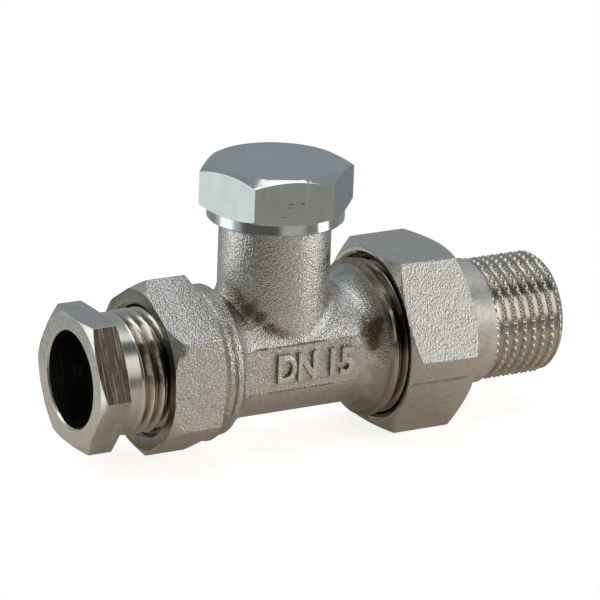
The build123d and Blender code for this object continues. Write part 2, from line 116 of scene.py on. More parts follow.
def paintFaces(bm, indexOf):
    # gives each face that has no finish yet the one that its place and normal ask for
    bm.normal_update()
    for face in bm.faces:
        if face.material_index == 0:
            face.material_index = indexOf(face.calc_center_median(), face.normal)


def addPiece(name, bm, body, materials, stoodFor=()):
    mesh = bpy.data.meshes.new(name)
    bm.to_mesh(mesh)
    bm.free()
    mesh.shade_smooth()
    mesh.set_sharp_from_angle(angle=math.radians(meshValues["sharpFrom"]))
    for material in materials:
        mesh.materials.append(material)
    piece = bpy.data.objects.new(name, mesh)
    bpy.context.scene.collection.objects.link(piece)
    # wide faces keep their own normal beside the narrow ones of a rounded edge
    weighted = piece.modifiers.new("wideFaceNormals", "WEIGHTED_NORMAL")
    weighted.keep_sharp = True
    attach(piece, body)
    if stoodFor:
        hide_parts(*stoodFor)


# Threads

inchPitch = 1.814 * mm
inchDepth = 1.162 * mm
seamWidth = 0.01 * mm  # left open at each end of the turns, then bridged to the solid
turnMerge = 0.002 * mm
stripUnder = 0.1 * mm  # how far under a thread's end radius its plain cylinder may reach
# (share of the pitch, share of the depth below the crest)
whitworthProfile = (
    (0.0, 0.0), (0.06, 0.04), (0.12, 0.14), (0.38, 0.86), (0.44, 0.96),
    (0.5, 1.0), (0.56, 0.96), (0.62, 0.86), (0.88, 0.14), (0.94, 0.04), (1.0, 0.0),
)


def stripThread(bm, thread):
    # takes off the plain cylinder that the turns stand in for, and leaves flats across the run
    overRadius = thread["endRadius"] - stripUnder
    gone = [
        face for face in bm.faces
        if thread["startX"] < face.calc_center_median().x < thread["endX"]
        and min(radiusOf(vert.co) for vert in face.verts) > overRadius
        and abs(face.normal.x) < meshValues["squareFrom"]
    ]
    bmesh.ops.delete(bm, geom=gone, context="FACES")


def beadShare(angle, height, count):
    # a knurl presses notches into the crest, so that beads are left between them
    return max(0.0, height - 0.5) * 2 * (0.5 - 0.5 * math.cos(angle * count))


def spinTurns(thread):
    # one pitch of the profile, spun once with a shift along the run, then repeated and merged
    pitch, steps, crest = thread["pitch"], thread["stepsPerTurn"], thread["crestRadius"]
    startX, endX = thread["startX"] + seamWidth, thread["endX"] - seamWidth
    spareTurns = 2  # past the start, to be cut off
    bm = bmesh.new()
    corners = [
        bm.verts.new((startX - spareTurns * pitch + share * pitch, 0, crest - drop * thread["depth"]))
        for share, drop in thread["profile"]
    ]
    line = [bm.edges.new(pair) for pair in zip(corners, corners[1:])]
    bmesh.ops.spin(
        bm, geom=corners + line, cent=(0, 0, 0), axis=runAxis, dvec=runAxis * pitch / steps,
        angle=math.tau, steps=steps, use_duplicate=False, use_merge=False,
    )
    turn = bm.verts[:] + bm.edges[:] + bm.faces[:]
    for number in range(1, math.ceil((endX - startX) / pitch) + spareTurns + 1):
        copied = bmesh.ops.duplicate(bm, geom=turn)
        moved = [item for item in copied["geom"] if isinstance(item, bmesh.types.BMVert)]
        bmesh.ops.translate(bm, verts=moved, vec=runAxis * pitch * number)
    bmesh.ops.remove_doubles(bm, verts=bm.verts, dist=turnMerge)
    cutAcross(bm, startX, clearInner=True)
    cutAcross(bm, endX, clearOuter=True)
    # the turns fade in from the start radius, and out to the end radius
    for vert in bm.verts:
        radius = radiusOf(vert.co)
        wanted = radius
        if thread.get("beads"):
            height = 1 - (crest - radius) / thread["depth"]
            angle = math.atan2(vert.co.z, vert.co.y)
            wanted -= thread["beadDepth"] * beadShare(angle, height, thread["beads"])
        fromStart = min(1.0, (vert.co.x - startX) / thread["startRamp"])
        wanted = thread["startRadius"] + (wanted - thread["startRadius"]) * fromStart
        fromEnd = min(1.0, (endX - vert.co.x) / thread["endRamp"])
        wanted = min(wanted, thread["endRadius"] + (crest - thread["endRadius"]) * fromEnd)
        vert.co.y *= wanted / radius
        vert.co.z *= wanted / radius
    # a spin can come out inside out
    bm.normal_update()
    outward = sum(
        face.calc_area() * (face.normal.y * face.calc_center_median().y
                            + face.normal.z * face.calc_center_median().z)
        for face in bm.faces
    )
    if outward < 0:
        bmesh.ops.reverse_faces(bm, faces=bm.faces)
    return bm


def addTurns(bm, thread):
    turns = spinTurns(thread)
    for face in turns.faces:
        face.material_index = thread["slotIndex"]
    holder = bpy.data.meshes.new("turns")
    turns.to_mesh(holder)
    turns.free()
    bm.from_mesh(holder)
    bpy.data.meshes.remove(holder)
    for seamX in (thread["startX"], thread["endX"]):
        rings = [
            edge for edge in bm.edges
            if edge.is_boundary and all(abs(vert.co.x - seamX) < 2 * seamWidth for vert in edge.verts)
        ]
        joined = bmesh.ops.bridge_loops(bm, edges=rings)
        for face in joined["faces"]:
            face.material_index = thread["slotIndex"]


# Materials

def newMaterial(name):
    material = bpy.data.materials.new(name)
    material.use_nodes = True
    tree = material.node_tree
    shader = next(node for node in tree.nodes if node.type == "BSDF_PRINCIPLED")
    coords = tree.nodes.new("ShaderNodeTexCoord")
    return material, tree, shader, coords.outputs["Object"]


def addNoise(tree, place, scale, detail=2.0, rough=0.5, stretch=None):
    if stretch:
        mapping = tree.nodes.new("ShaderNodeMapping")
        mapping.inputs["Scale"].default_value = stretch
        tree.links.new(place, mapping.inputs["Vector"])
        place = mapping.outputs["Vector"]
    noise = tree.nodes.new("ShaderNodeTexNoise")
    noise.inputs["Scale"].default_value = scale
    noise.inputs["Detail"].default_value = detail
    noise.inputs["Roughness"].default_value = rough
    tree.links.new(place, noise.inputs["Vector"])
    return noise.outputs["Fac"]


def addRange(tree, value, fromLow, fromHigh, toLow, toHigh):
    ranged = tree.nodes.new("ShaderNodeMapRange")
    ranged.inputs["From Min"].default_value = fromLow
    ranged.inputs["From Max"].default_value = fromHigh
    ranged.inputs["To Min"].default_value = toLow
    ranged.inputs["To Max"].default_value = toHigh
    tree.links.new(value, ranged.inputs["Value"])
    return ranged.outputs["Result"]


def addMath(tree, operation, first, second):
    mathNode = tree.nodes.new("ShaderNodeMath")
    mathNode.operation = operation
    for socket, value in ((mathNode.inputs[0], first), (mathNode.inputs[1], second)):
        if isinstance(value, float):
            socket.default_value = value
        else:
            tree.links.new(value, socket)
    return mathNode.outputs["Value"]


def addMix(tree, share, first, second):
    mix = tree.nodes.new("ShaderNodeMix")
    mix.data_type = "RGBA"
    tree.links.new(share, mix.inputs["Factor"])
    for socket, value in ((mix.inputs["A"], first), (mix.inputs["B"], second)):
        if isinstance(value, tuple):
            socket.default_value = value + (1,)
        else:
            tree.links.new(value, socket)
    return mix.outputs["Result"]


def addBump(tree, height, distance, under=None):
    bump = tree.nodes.new("ShaderNodeBump")
    bump.inputs["Distance"].default_value = distance
    bump.inputs["Strength"].default_value = 1.0
    tree.links.new(height, bump.inputs["Height"])
    if under:
        tree.links.new(under, bump.inputs["Normal"])
    return bump.outputs["Normal"]


# what every blasted skin shares
skinValues = {
    "lumpScale": 420.0,
    "patchScale": 170.0,
    "patchFade": 0.14,
    "patchShare": 0.5,
    "stainAndShadeColour": (0.17, 0.11, 0.05),
}
blastedValues = {
    "light": (0.76, 0.75, 0.72),
    "dark": (0.62, 0.60, 0.56),
    "tarnish": (0.34, 0.25, 0.15),
    "tarnishFrom": 0.66,
    "roughness": (0.20, 0.30),
    "grainScale": 3300.0,
    "grainHeight": 0.16 * mm,
    "lumpHeight": 0.06 * mm,
}
nutSkinValues = {
    "light": (0.74, 0.72, 0.69),
    "dark": (0.64, 0.62, 0.58),
    "tarnish": (0.36, 0.27, 0.16),
    "tarnishFrom": 0.66,
    "roughness": (0.24, 0.32),
    "grainScale": 3300.0,
    "grainHeight": 0.11 * mm,
    "lumpHeight": 0.05 * mm,
}
# the letters' tops, lighter than the flat as painted light
litMarkSkinValues = {
    "light": (0.86, 0.84, 0.80),
    "dark": (0.74, 0.72, 0.67),
    "tarnish": (0.42, 0.31, 0.18),
    "tarnishFrom": 0.68,
    "roughness": (0.24, 0.34),
    "grainScale": 3300.0,
    "grainHeight": 0.13 * mm,
    "lumpHeight": 0.06 * mm,
}
# the letters' sides, darker as painted shade
shadedMarkSideValues = {
    "light": (0.36, 0.31, 0.25),
    "dark": (0.24, 0.19, 0.14),
    "tarnish": (0.14, 0.09, 0.05),
    "tarnishFrom": 0.60,
    "roughness": (0.30, 0.40),
    "grainScale": 3300.0,
    "grainHeight": 0.10 * mm,
    "lumpHeight": 0.05 * mm,
}
# centre and reach along each axis, in mm, and share of each brown stain and each painted shade
bodyStainsAndShade = (
    ((24.5, -9.9, 4.8), (2.1, 3.2, 3.9), 0.90),  # front of the flare
    ((26.2, 0, 0), (2.4, 40, 40), 0.40),  # all round the flare
    ((1.6, -3.4, 11.0), (1.7, 3.2, 1.7), 0.62),  # painted shade in the crease at the neck's foot
    ((3.0, -5.4, 9.6), (2.0, 2.4, 2.0), 0.70),
    ((4.3, -6.8, 8.3), (2.1, 2.0, 1.7), 0.70),
    ((5.8, -8.0, 7.0), (2.1, 1.7, 1.3), 0.66),
    ((7.8, -8.8, 5.9), (2.1, 1.2, 0.9), 0.45),
    ((-2.5, -9.5, 0), (0.45, 9, 12), 0.70),  # painted shade in the groove beside the collar
    ((10.5, -9.9, 3.95), (10.5, 1.2, 0.26), 0.80),  # painted shadow under the ledge over the flat
    ((12.5, -9.9, -3.80), (12.5, 1.2, 0.16), 0.55),  # painted shade along the flat's lower edge
    ((13.0, -9.6, -2.5), (7.0, 0.35, 0.5), 0.35),  # painted shadow under the mark
    ((-12.9, -12.8, 6.9), (1.2, 1.6, 1.6), 0.80),  # hexagon's corner
)
nutStains = (
    ((36.4, -14.8, -4.3), (7, 1.2, 0.35), 0.45),  # along a corner
    ((29.3, -14.2, 4.6), (0.5, 3, 5), 0.70),  # at the mouth
    ((29.3, 0, 0), (0.35, 30, 30), 0.45),
    ((42.3, 0, 0), (0.35, 30, 30), 0.40),  # at the back
)
# painted shade that the nut casts over the union thread
unionShade = (
    ((28.4, -12.2, 5.0), (2.4, 4.2, 3.6), 0.90),  # painted shade of the nut, beside the stain of the flare
    ((28.2, -6.5, 11.8), (1.6, 4.0, 2.4), 0.55),
)
screwStainsAndShade = (
    ((-13.6, -8.8, 4.2), (2.4, 4.0, 4.2), 0.90),  # painted shade where the thread enters the socket
    ((-17.5, -8.8, 5.0), (1.2, 3.0, 2.0), 0.50),
)
capScratches = (  # short ones on the front facet
    ((7.5, -10.9, 28.8), (0.6, 1.2, 0.11), 0.8),
    ((9.3, -11.4, 28.9), (0.3, 1.2, 0.16), 0.8),
    ((7.3, -10.8, 28.2), (0.5, 1.2, 0.09), 0.6),
    ((6.2, -10.6, 26.7), (0.7, 0.8, 0.09), 0.6),
)
# shares of the reach of a stain and of a painted shade: how far noise pushes its edge, where it is
# full, and where it ends
stainAndShadeEdge = {"ragged": 0.45, "full": 0.45, "end": 1.15}


def addStainsAndShade(tree, place, stainsAndShade, uneven):
    # one mask over the places where dirt and old lacquer stayed, and over the places given painted
    # shade
    total = None
    for centre, reach, share in stainsAndShade:
        away = tree.nodes.new("ShaderNodeVectorMath")
        away.operation = "SUBTRACT"
        away.inputs[1].default_value = [value * mm for value in centre]
        tree.links.new(place, away.inputs[0])
        scaled = tree.nodes.new("ShaderNodeVectorMath")
        scaled.operation = "DIVIDE"
        scaled.inputs[1].default_value = [value * mm for value in reach]
        tree.links.new(away.outputs["Vector"], scaled.inputs[0])
        length = tree.nodes.new("ShaderNodeVectorMath")
        length.operation = "LENGTH"
        tree.links.new(scaled.outputs["Vector"], length.inputs[0])
        push = addRange(tree, uneven, 0.3, 0.7, stainAndShadeEdge["ragged"], -stainAndShadeEdge["ragged"])
        ragged = addMath(tree, "ADD", length.outputs["Value"], push)
        mask = addRange(tree, ragged, stainAndShadeEdge["full"], stainAndShadeEdge["end"], share, 0.0)
        total = addMath(tree, "MAXIMUM", total, mask) if total else mask
    return total


def blastedNickel(name, values, stainsAndShade=()):
    # a shot-blasted skin: an even, wrinkled grain over shallow lumps
    material, tree, shader, place = newMaterial(name)
    grain = addNoise(tree, place, values["grainScale"], 1.5)
    lumps = addNoise(tree, place, skinValues["lumpScale"])
    patches = addNoise(tree, place, skinValues["patchScale"], 5.0, 0.62)
    colour = addMix(tree, addRange(tree, grain, 0.36, 0.56, 0, 1), values["dark"], values["light"])
    fullFrom = values["tarnishFrom"] + skinValues["patchFade"]
    stained = addRange(tree, patches, values["tarnishFrom"], fullFrom, 0, skinValues["patchShare"])
    colour = addMix(tree, stained, colour, values["tarnish"])
    if stainsAndShade:
        # brown stains, and painted shade where the marks ask for it
        colour = addMix(tree, addStainsAndShade(tree, place, stainsAndShade, lumps), colour, skinValues["stainAndShadeColour"])
    tree.links.new(colour, shader.inputs["Base Color"])
    tree.links.new(addRange(tree, grain, 0.3, 0.7, *values["roughness"]), shader.inputs["Roughness"])
    shader.inputs["Metallic"].default_value = 1.0
    under = addBump(tree, lumps, values["lumpHeight"])
    tree.links.new(addBump(tree, grain, values["grainHeight"], under), shader.inputs["Normal"])
    return material


# what every turned, milled or polished finish shares
toolValues = {
    "spotScale": 260.0,
    "patchScale": 120.0,
    "patchFade": 0.15,
    "patchShare": 0.7,
    "rootShare": 0.75,
}


def nickelFinish(name, values):
    # lines left by the tool, faint spots, and tarnish in patches or in a thread's roots
    material, tree, shader, place = newMaterial(name)
    lines = addNoise(tree, place, values["lineScale"], 3.0, 0.6, values["lineStretch"])
    spots = addNoise(tree, place, toolValues["spotScale"], 5.0, 0.6)
    colour = addMix(tree, addRange(tree, spots, 0.35, 0.65, 0, 1), values["dark"], values["light"])
    if values.get("lineShare"):
        share = addRange(tree, lines, 0.52, 0.66, 0, values["lineShare"])
        colour = addMix(tree, share, colour, values["lineColour"])
    patches = addNoise(tree, place, toolValues["patchScale"], 4.0, 0.6)
    fullFrom = values["tarnishFrom"] + toolValues["patchFade"]
    stained = addRange(tree, patches, values["tarnishFrom"], fullFrom, 0, toolValues["patchShare"])
    if values.get("rootRadius"):
        apart = tree.nodes.new("ShaderNodeSeparateXYZ")
        tree.links.new(place, apart.inputs["Vector"])
        squares = [addMath(tree, "POWER", apart.outputs[axis], 2.0) for axis in ("Y", "Z")]
        radius = addMath(tree, "SQRT", addMath(tree, "ADD", *squares), 0.0)
        roots = addRange(
            tree, radius, values["rootRadius"], values["crestRadius"], toolValues["rootShare"], 0.0,
        )
        uneven = addRange(tree, spots, 0.35, 0.65, 0.5, 1.0)
        stained = addMath(tree, "MAXIMUM", stained, addMath(tree, "MULTIPLY", roots, uneven))
    colour = addMix(tree, stained, colour, values["tarnish"])
    # brown stains, and painted shade where the marks ask for it
    if values.get("stainsAndShade"):
        masked = addStainsAndShade(tree, place, values["stainsAndShade"], spots)
        colour = addMix(tree, masked, colour, values["stainAndShadeColour"])
    tree.links.new(colour, shader.inputs["Base Color"])
    tree.links.new(addRange(tree, lines, 0.35, 0.65, *values["roughness"]), shader.inputs["Roughness"])
    shader.inputs["Metallic"].default_value = 1.0
    tree.links.new(addBump(tree, lines, values["lineHeight"]), shader.inputs["Normal"])
    return material


def plainFinish(name, light, dark, roughness, metallic, scale, height):
    # an even finish for the inner pieces
    material, tree, shader, place = newMaterial(name)
    grain = addNoise(tree, place, scale, 3.0)
    colour = addMix(tree, addRange(tree, grain, 0.3, 0.7, 0, 1), dark, light)
    rough = addRange(tree, grain, 0.3, 0.7, roughness, roughness + 0.12)
    tree.links.new(colour, shader.inputs["Base Color"])
    tree.links.new(rough, shader.inputs["Roughness"])
    shader.inputs["Metallic"].default_value = metallic
    tree.links.new(addBump(tree, grain, height), shader.inputs["Normal"])
    return material


turnedValues = {  # rings about the run
    "light": (0.72, 0.71, 0.68), "dark": (0.62, 0.60, 0.56), "tarnish": (0.34, 0.24, 0.14),
    "tarnishFrom": 0.66, "roughness": (0.18, 0.28),
    "lineScale": 700.0, "lineStretch": (9, 0.35, 0.35), "lineHeight": 0.004 * mm,
}
satinValues = {  # the tail's tube, finely blasted after turning
    "light": (0.84, 0.83, 0.80), "dark": (0.72, 0.70, 0.66), "tarnish": (0.44, 0.34, 0.22),
    "tarnishFrom": 0.60, "roughness": (0.38, 0.46),
    "lineScale": 1900.0, "lineStretch": (1, 1, 1), "lineHeight": 0.06 * mm,
}
facedValues = {  # a faced end, with its rings across the run
    "light": (0.79, 0.77, 0.73), "dark": (0.72, 0.70, 0.65), "tarnish": (0.46, 0.37, 0.24),
    "tarnishFrom": 0.70, "roughness": (0.22, 0.32),
    "lineScale": 900.0, "lineStretch": (0.3, 1.0, 1.0), "lineHeight": 0.002 * mm,
}
drawnValues = {  # milled hexagon, its lines across the run
    "light": (0.70, 0.70, 0.68), "dark": (0.60, 0.58, 0.54), "tarnish": (0.36, 0.28, 0.20),
    "tarnishFrom": 0.68, "roughness": (0.16, 0.34), "lineShare": 0.3,
    "lineColour": (0.36, 0.30, 0.24),
    "lineScale": 1400.0, "lineStretch": (1, 0.05, 0.05), "lineHeight": 0.006 * mm,
}
darkReflectionFacetValues = {  # the facet that faces front and up, painted dark as a dark reflection, with the tool's lines
    "light": (0.13, 0.10, 0.085), "dark": (0.06, 0.045, 0.035), "tarnish": (0.05, 0.03, 0.02),
    "tarnishFrom": 0.55, "roughness": (0.22, 0.40), "lineShare": 0.9,
    "lineColour": (0.50, 0.45, 0.41),
    "lineScale": 2500.0, "lineStretch": (1, 0.04, 0.04), "lineHeight": 0.010 * mm,
}
screwThreadValues = {
    "light": (0.84, 0.82, 0.77), "dark": (0.72, 0.69, 0.62), "tarnish": (0.20, 0.12, 0.06),
    "tarnishFrom": 0.62, "roughness": (0.10, 0.20), "rootRadius": 9.3 * mm, "crestRadius": 10.2 * mm,
    "stainsAndShade": screwStainsAndShade, "stainAndShadeColour": (0.05, 0.03, 0.015),
    "lineScale": 700.0, "lineStretch": (9, 0.35, 0.35), "lineHeight": 0.004 * mm,
}
# colours darker than the other threads as painted shade of the nut; the roots' tarnish is patina
shadedUnionThreadValues = {
    "light": (0.58, 0.54, 0.47), "dark": (0.42, 0.37, 0.30), "tarnish": (0.10, 0.06, 0.035),
    "tarnishFrom": 0.50, "roughness": (0.12, 0.24), "rootRadius": 12.3 * mm, "crestRadius": 13.2 * mm,
    "stainsAndShade": unionShade, "stainAndShadeColour": (0.055, 0.035, 0.02),
    "lineScale": 700.0, "lineStretch": (9, 0.35, 0.35), "lineHeight": 0.004 * mm,
}
tailThreadValues = {
    "light": (0.70, 0.665, 0.60), "dark": (0.57, 0.53, 0.46), "tarnish": (0.18, 0.115, 0.06),
    "tarnishFrom": 0.66, "roughness": (0.14, 0.24), "rootRadius": 9.6 * mm, "crestRadius": 9.9 * mm,
    "lineScale": 700.0, "lineStretch": (6, 0.5, 0.5), "lineHeight": 0.004 * mm,
}
polishedValues = {  # turned and polished cap
    "light": (0.70, 0.72, 0.73), "dark": (0.66, 0.68, 0.69), "tarnish": (0.48, 0.40, 0.28),
    "tarnishFrom": 0.72, "roughness": (0.10, 0.17),
    "lineScale": 900.0, "lineStretch": (0.4, 0.4, 8), "lineHeight": 0.0015 * mm,
}
capFacetValues = {  # drawn lines along the neck
    "light": (0.47, 0.485, 0.48), "dark": (0.42, 0.435, 0.425), "tarnish": (0.33, 0.26, 0.15),
    "tarnishFrom": 0.68, "roughness": (0.13, 0.24), "lineShare": 0.4,
    "lineColour": (0.62, 0.635, 0.635),
    "stainsAndShade": capScratches, "stainAndShadeColour": (0.16, 0.10, 0.05),
    "lineScale": 1700.0, "lineStretch": (1, 1, 0.04), "lineHeight": 0.005 * mm,
}
shadedBoreValues = {  # bores painted dark as painted shade deep inside them
    "light": (0.44, 0.43, 0.37), "dark": (0.30, 0.29, 0.25), "tarnish": (0.20, 0.15, 0.09),
    "tarnishFrom": 0.60, "roughness": (0.20, 0.30),
    "lineScale": 600.0, "lineStretch": (8, 0.3, 0.3), "lineHeight": 0.006 * mm,
}
rubbedValues = {  # edges rubbed bright
    "light": (0.86, 0.83, 0.77), "dark": (0.72, 0.68, 0.60), "tarnish": (0.50, 0.38, 0.22),
    "tarnishFrom": 0.60, "roughness": (0.22, 0.34),
    "lineScale": 1500.0, "lineStretch": (1, 1, 1), "lineHeight": 0.006 * mm,
}

blasted = blastedNickel("blastedNickel", blastedValues, bodyStainsAndShade)
nutSkin = blastedNickel("nutNickel", nutSkinValues, nutStains)
litMarkSkin = blastedNickel("litMarkNickel", litMarkSkinValues)
shadedMarkSide = blastedNickel("shadedMarkSideNickel", shadedMarkSideValues)
turned = nickelFinish("turnedNickel", turnedValues)
satin = nickelFinish("satinNickel", satinValues)
faced = nickelFinish("facedNickel", facedValues)
drawn = nickelFinish("milledNickel", drawnValues)
darkReflectionFacet = nickelFinish("darkReflectionFacetNickel", darkReflectionFacetValues)
screwThread = nickelFinish("screwThreadNickel", screwThreadValues)
unionThread = nickelFinish("shadedUnionThreadNickel", shadedUnionThreadValues)
tailThread = nickelFinish("tailThreadNickel", tailThreadValues)
polished = nickelFinish("polishedNickel", polishedValues)
capFacet = nickelFinish("capFacetNickel", capFacetValues)
shadedBore = nickelFinish("shadedBoreNickel", shadedBoreValues)
rubbed = nickelFinish("rubbedEdge", rubbedValues)
# light, dark, roughness, metallic, scale and height of the grain
plainValues = {
    "rawBrass": ((0.80, 0.62, 0.30), (0.66, 0.48, 0.20), 0.22, 1.0, 600.0, 0.002 * mm),
    "sealRubber": ((0.035, 0.035, 0.035), (0.02, 0.02, 0.02), 0.5, 0.0, 900.0, 0.01 * mm),
    "gasketFibre": ((0.42, 0.13, 0.08), (0.30, 0.09, 0.06), 0.7, 0.0, 1500.0, 0.02 * mm),
    "springSteel": ((0.34, 0.34, 0.35), (0.24, 0.24, 0.25), 0.35, 1.0, 900.0, 0.003 * mm),
}
brass, rubber, fibre, springSteel = (
    plainFinish(name, *values) for name, values in plainValues.items()
)
print("materials made")


# Pieces that keep their solid get a finish

solidFinishes = {
    "bonnet": brass, "spindle": brass, "washer_screw": brass,
    "thrust_washer": brass, "clamp_ring": brass, "spindle_circlip": springSteel,
    "bonnet_gasket": fibre, "cap_gasket": fibre,
    "stem_oring_lower": rubber, "stem_oring_upper": rubber,
    "seat_washer": rubber, "seal_ring": rubber,
}
for nodeName, material in solidFinishes.items():
    nodes[nodeName].data.materials.clear()
    nodes[nodeName].data.materials.append(material)
print("inner pieces finished")


# Valve body

bodyValues = {
    "edgeRound": 0.16 * mm,
    "hexBackX": -4.0 * mm,
    "hexInside": 11.2 * mm,
    "socketFrontX": -12.4 * mm,
    "smoothFromX": 26.5 * mm,
    "runBoreRadius": 9.3 * mm,
    "neckBoreRadius": 9.4 * mm,
    "neckFootZ": 12 * mm,
    "neckTurnedZ": 22.9 * mm,
    "neckInward": 0.05,
    "runInward": 0.3,
    "facedFrom": 0.2,
    "unionThread": {
        "startX": 27.35 * mm, "endX": 36.2 * mm, "pitch": inchPitch, "depth": inchDepth,
        "profile": whitworthProfile, "stepsPerTurn": 144, "crestRadius": 13.2205 * mm,
        "startRadius": 13.2205 * mm, "startRamp": 0.35 * mm,
        "endRadius": 12.4205 * mm, "endRamp": 0.8 * mm, "slotIndex": 2,
    },
    "capThread": {  # laid along the run, so that its X is the height on the neck
        "startX": 23.95 * mm, "endX": 29.6 * mm, "pitch": 1.0 * mm, "depth": 0.55 * mm,
        "profile": whitworthProfile, "stepsPerTurn": 144, "crestRadius": 9.0 * mm,
        "startRadius": 9.0 * mm, "startRamp": 0.3 * mm,
        "endRadius": 8.7 * mm, "endRamp": 0.3 * mm, "slotIndex": 1,
    },
}


def bodyFinish(place, normal):
    # 0 blasted, 1 faced, 2 union thread, 3 bore, 4 rubbed edge
    if place.z > bodyValues["neckFootZ"] and neckRadiusOf(place) < bodyValues["neckBoreRadius"]:
        inward = looksAtNeck(place, normal, bodyValues["neckInward"])
    else:
        inward = (looksAtRun(place, normal, bodyValues["runInward"])
                  or radiusOf(place) < bodyValues["runBoreRadius"])
    if inward:
        return 3
    if place.x < bodyValues["socketFrontX"] and normal.x < -bodyValues["facedFrom"]:
        return 1
    if place.z > bodyValues["neckTurnedZ"]:
        return 1
    if place.x > bodyValues["smoothFromX"]:
        return 2
    return 0


def layNeck(bm, down):
    # lays the neck's axis along the run's, or stands it up again
    if down:
        bmesh.ops.translate(bm, verts=bm.verts, vec=(-neckX, 0, 0))
    turn = Matrix.Rotation(math.radians(90 if down else -90), 3, "Y")
    bmesh.ops.rotate(bm, verts=bm.verts, cent=(0, 0, 0), matrix=turn)
    if not down:
        bmesh.ops.translate(bm, verts=bm.verts, vec=(neckX, 0, 0))


def cutCapThread(bm):
    layNeck(bm, True)
    bm.normal_update()
    stripThread(bm, bodyValues["capThread"])
    addTurns(bm, bodyValues["capThread"])
    layNeck(bm, False)


def makeBody():
    values = bodyValues
    bm = copyOfNode("valve_body")
    roundEdges(bm, values["edgeRound"], lambda place: (
        place.x < values["hexBackX"] and radiusOf(place) > values["hexInside"]), 4)
    stripThread(bm, values["unionThread"])
    cutAcross(bm, values["smoothFromX"])  # the turned band beside the union thread ends here
    paintFaces(bm, bodyFinish)
    cutCapThread(bm)
    addTurns(bm, values["unionThread"])
    addPiece("valveBody", bm, "valve",
             [blasted, faced, unionThread, shadedBore, rubbed], ["valve_body"])


makeBody()
print("valve body made")


# Compression screw

screwValues = {
    "edgeRound": 0.14 * mm,
    "hexBackX": -21.3 * mm,
    "boreRadius": 8.3 * mm,
    "facedFrom": 0.2,
    "darkReflectionNormal": (-0.5, 0.2),  # the facet painted dark as a reflection: below this along Y and above this along Z
    "thread": {
        "startX": -18.8 * mm, "endX": -8.4 * mm, "pitch": inchPitch, "depth": inchDepth,
        "profile": whitworthProfile, "stepsPerTurn": 128, "crestRadius": 10.3775 * mm,
        "startRadius": 10.2 * mm, "startRamp": 0.9 * mm,
        "endRadius": 9.5775 * mm, "endRamp": 0.8 * mm, "slotIndex": 5,
    },
}


def screwFinish(place, normal):
    # 0 neck, 1 faced, 2 milled facet, 3 bore, 4 rubbed edge, 5 thread, 6 facet painted dark as a
    # reflection
    if abs(normal.x) > screwValues["facedFrom"]:
        return 1
    if radiusOf(place) < screwValues["boreRadius"]:
        return 3
    if place.x < screwValues["hexBackX"]:
        mostY, leastZ = screwValues["darkReflectionNormal"]
        return 6 if normal.y < mostY and normal.z > leastZ else 2
    return 0


def makeScrew():
    values = screwValues
    bm = copyOfNode("compression_screw")
    roundEdges(bm, values["edgeRound"], lambda place: place.x < values["hexBackX"], 4)
    stripThread(bm, values["thread"])
    paintFaces(bm, screwFinish)
    addTurns(bm, values["thread"])
    addPiece("compressionScrew", bm, "clamp_screw",
             [turned, faced, drawn, shadedBore, rubbed, screwThread, darkReflectionFacet], ["compression_screw"])


makeScrew()
print("compression screw made")


# Tailpiece

# wide smooth roots between the rows of beads
tailProfile = (
    (0.0, 0.0), (0.05, 0.02), (0.10, 0.08), (0.15, 0.23), (0.19, 0.50), (0.23, 0.84), (0.28, 0.98),
    (0.5, 1.0),
    (0.72, 0.98), (0.77, 0.84), (0.81, 0.50), (0.85, 0.23), (0.90, 0.08), (0.95, 0.02), (1.0, 0.0),
)
tailValues = {
    "boreRadius": 7.2 * mm,
    "facedFrom": 0.5,
    "thread": {
        "startX": 48.6 * mm, "endX": 62.3 * mm, "pitch": inchPitch, "depth": 0.66 * mm,
        "profile": tailProfile, "stepsPerTurn": 368, "crestRadius": 10.4775 * mm,
        "startRadius": 10.4775 * mm, "startRamp": 0.9 * mm,
        "endRadius": 9.6775 * mm, "endRamp": 1.0 * mm, "slotIndex": 2,
        "beads": 46, "beadDepth": 0.40 * mm,  # beads in one turn
    },
}


def tailFinish(place, normal):
    # 0 tube, 1 faced, 2 thread, 3 bore
    if abs(normal.x) > tailValues["facedFrom"]:
        return 1
    return 3 if radiusOf(place) < tailValues["boreRadius"] else 0


def makeTail():
    bm = copyOfNode("tailpiece")
    stripThread(bm, tailValues["thread"])
    paintFaces(bm, tailFinish)
    addTurns(bm, tailValues["thread"])
    addPiece("tail", bm, "tail", [satin, faced, tailThread, shadedBore], ["tailpiece"])


makeTail()
print("tailpiece made")


# Union nut

nutValues = {
    "edgeRound": 0.18 * mm,
    "inside": 14.6 * mm,
    "inward": 0.05,
    "facedFrom": 0.2,
}


def nutFinish(place, normal):
    # 0 blasted, 1 turned face, 2 bore, 3 rubbed edge
    if looksAtRun(place, normal, nutValues["inward"]):
        return 2
    return 1 if abs(normal.x) > nutValues["facedFrom"] else 0


def makeNut():
    bm = copyOfNode("union_nut")
    roundEdges(bm, nutValues["edgeRound"], lambda place: radiusOf(place) > nutValues["inside"], 3)
    paintFaces(bm, nutFinish)
    addPiece("unionNut", bm, "nut", [nutSkin, faced, unionThread, rubbed],
             ["union_nut"])


# Protective cap

capValues = {
    "edgeRound": 0.12 * mm,
    "inside": 9.6 * mm,
    "hexLowZ": 25.9 * mm,
    "inward": 0.05,
    "downFrom": 0.9,
    "uprightWithin": 0.05,
}


def capFinish(place, normal):
    # 0 polished, 1 drawn facets, 2 inside, 3 rubbed edge
    if looksAtNeck(place, normal, capValues["inward"]) or normal.z < -capValues["downFrom"]:
        return 2
    if abs(normal.z) < capValues["uprightWithin"] and place.z > capValues["hexLowZ"]:
        return 1
    return 0


